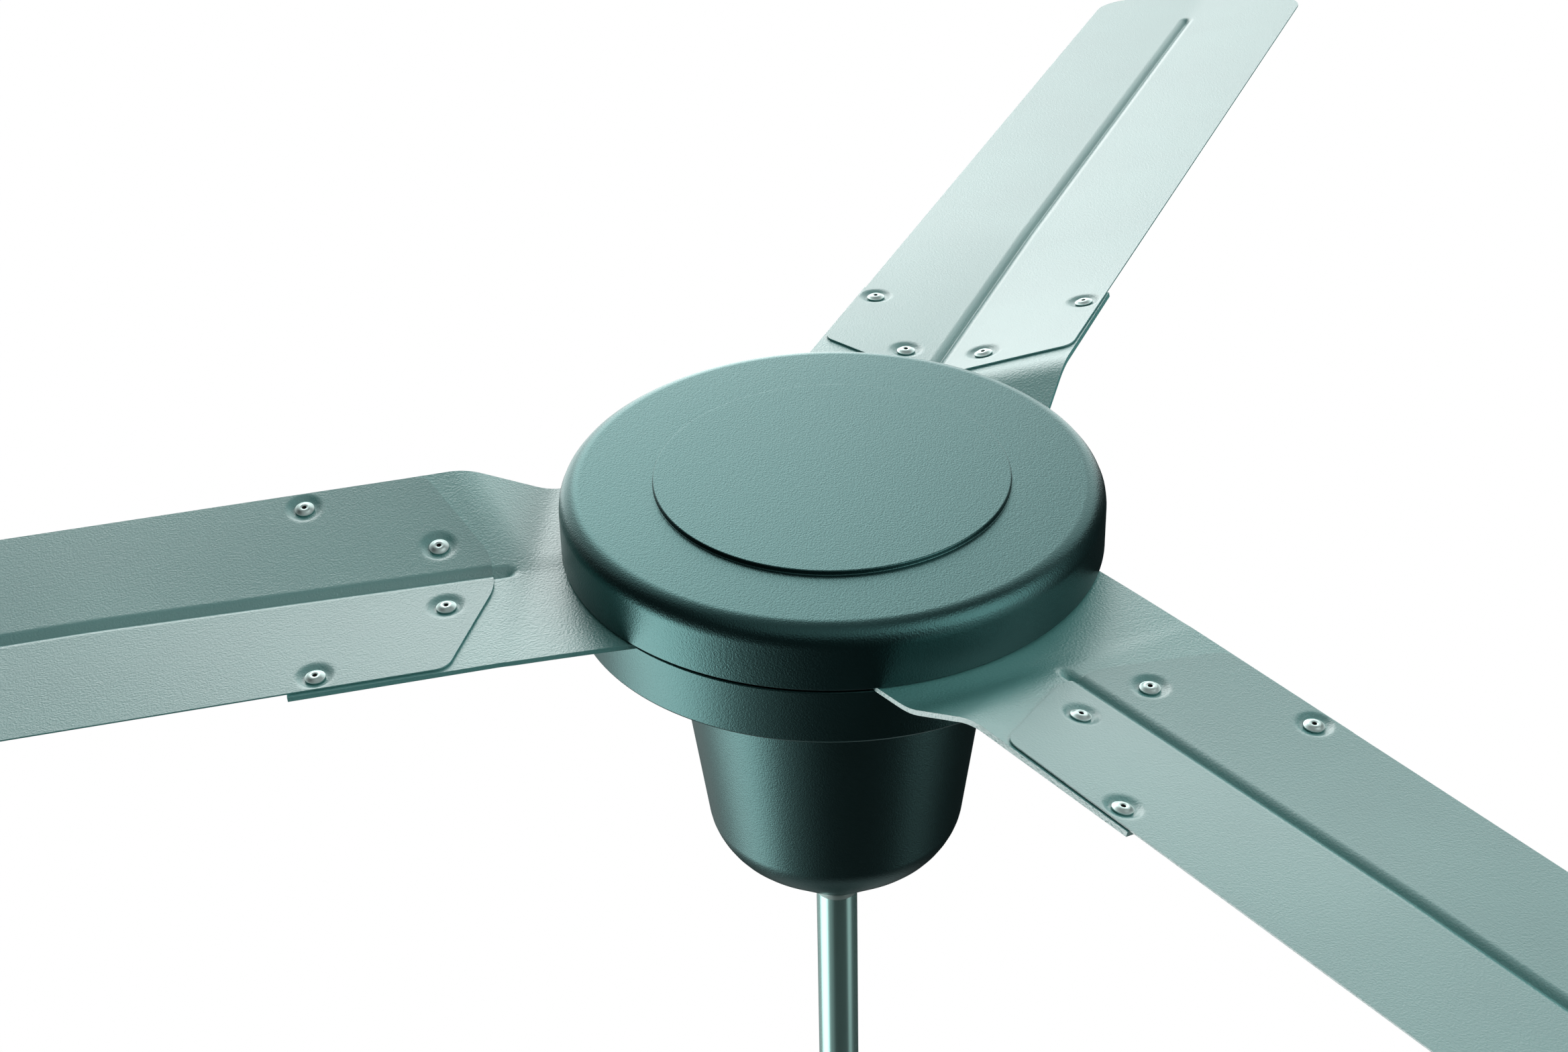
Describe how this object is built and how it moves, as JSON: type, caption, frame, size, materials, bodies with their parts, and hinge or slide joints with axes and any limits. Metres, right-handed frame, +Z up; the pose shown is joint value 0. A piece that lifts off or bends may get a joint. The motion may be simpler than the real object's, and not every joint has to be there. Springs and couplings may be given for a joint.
{
  "type": "ceiling fan",
  "caption": "Ceiling fan with a swinging down rod, cup canopies, an outer-rotor motor in a round dark housing and pressed sheet blades riveted to folded arms.",
  "frame": {"origin": "middle of the ceiling bracket's top face, which lies on the ceiling", "axes": "+Z up into the ceiling along the rod and hub axis, +X along the hanger bolt and the line of the two ceiling holes, +Y across them"},
  "size_m": [1.3549, 1.4142, 0.6437],
  "materials": {
    "bracket_zinc": "zinc-plated pressed steel",
    "bolt_zinc": "zinc-plated steel",
    "rivet_zinc": "bright blind rivets",
    "terminal_plastic": "moulded terminal blocks",
    "bush_rubber": "hanger bush",
    "rod_steel": "bright plated tube",
    "collar_steel": "turned collar",
    "canopy_plastic": "fine-grained dark green plastic",
    "cover_plastic": "grained dark green plastic",
    "shell_enamel": "dark green enamel",
    "casting_aluminium": "die-cast end shield",
    "coupler_steel": "turned steel",
    "capacitor_plastic": "pale can",
    "core_steel": "stacked laminations",
    "rotor_aluminium": "cast end rings",
    "coil_copper": "varnished copper",
    "clip_steel": "spring steel",
    "bearing_steel": "ground bearing steel",
    "arm_enamel": "hammer-grained pale green enamel",
    "blade_enamel": "pale green enamel"
  },
  "bodies": {
    "ceiling_mount": {"ceiling_bracket": "bracket_zinc", "hanger_bolt": "bolt_zinc", "hanger_nut": "bolt_zinc", "hanger_split_pin": "bolt_zinc", "supply_terminal": "terminal_plastic"},
    "hanger": {"hanger_eye": "rod_steel", "rubber_bush": "bush_rubber", "down_rod": "rod_steel", "upper_canopy": "canopy_plastic", "upper_canopy_collar": "collar_steel", "lower_canopy": "canopy_plastic", "lower_canopy_collar": "collar_steel", "collar_screws": "bolt_zinc", "rod_coupler": "coupler_steel", "coupler_bolts": "bolt_zinc", "coupler_nuts": "bolt_zinc", "coupler_split_pins": "bolt_zinc", "component_plate": "bracket_zinc", "run_capacitor": "capacitor_plastic", "capacitor_nut": "bolt_zinc", "motor_terminals": "terminal_plastic", "motor_shaft": "coupler_steel", "stator_stack": "core_steel", "stator_coils": "coil_copper", "shaft_circlip": "clip_steel", "upper_bearing_inner_ring": "bearing_steel", "lower_bearing_inner_ring": "bearing_steel"},
    "ball_cages": {"upper_bearing_balls": "bearing_steel", "upper_bearing_cage": "bearing_steel", "lower_bearing_balls": "bearing_steel", "lower_bearing_cage": "bearing_steel"},
    "rotor": {"motor_shell_upper": "shell_enamel", "motor_shell_lower": "casting_aluminium", "rotor_core": "core_steel", "rotor_end_rings": "rotor_aluminium", "upper_bearing_outer_ring": "bearing_steel", "lower_bearing_outer_ring": "bearing_steel", "shell_screws": "bolt_zinc", "bottom_cover": "cover_plastic", "blade_arm_1": "arm_enamel", "blade_arm_2": "arm_enamel", "blade_arm_3": "arm_enamel", "blade_1": "blade_enamel", "blade_2": "blade_enamel", "blade_3": "blade_enamel", "blade_rivets": "rivet_zinc", "arm_screws": "bolt_zinc"}
  },
  "joints": [
    {"name": "hanger_swing", "type": "hinge", "parent": "ceiling_mount", "child": "hanger", "pos_m": [0, 0, -0.045], "axis": [1, 0, 0], "range_deg": [-4, 4]},
    {"name": "fan_spin", "type": "hinge", "parent": "hanger", "child": "rotor", "pos_m": [0, 0, -0.6], "axis": [0, 0, 1], "continuous": true},
    {"name": "cage_spin", "type": "hinge", "parent": "hanger", "child": "ball_cages", "pos_m": [0, 0, -0.6], "axis": [0, 0, 1], "continuous": true}
  ],
  "couplings": [
    {"joint": "cage_spin", "follows": "fan_spin", "ratio": 0.6157}
  ]
}
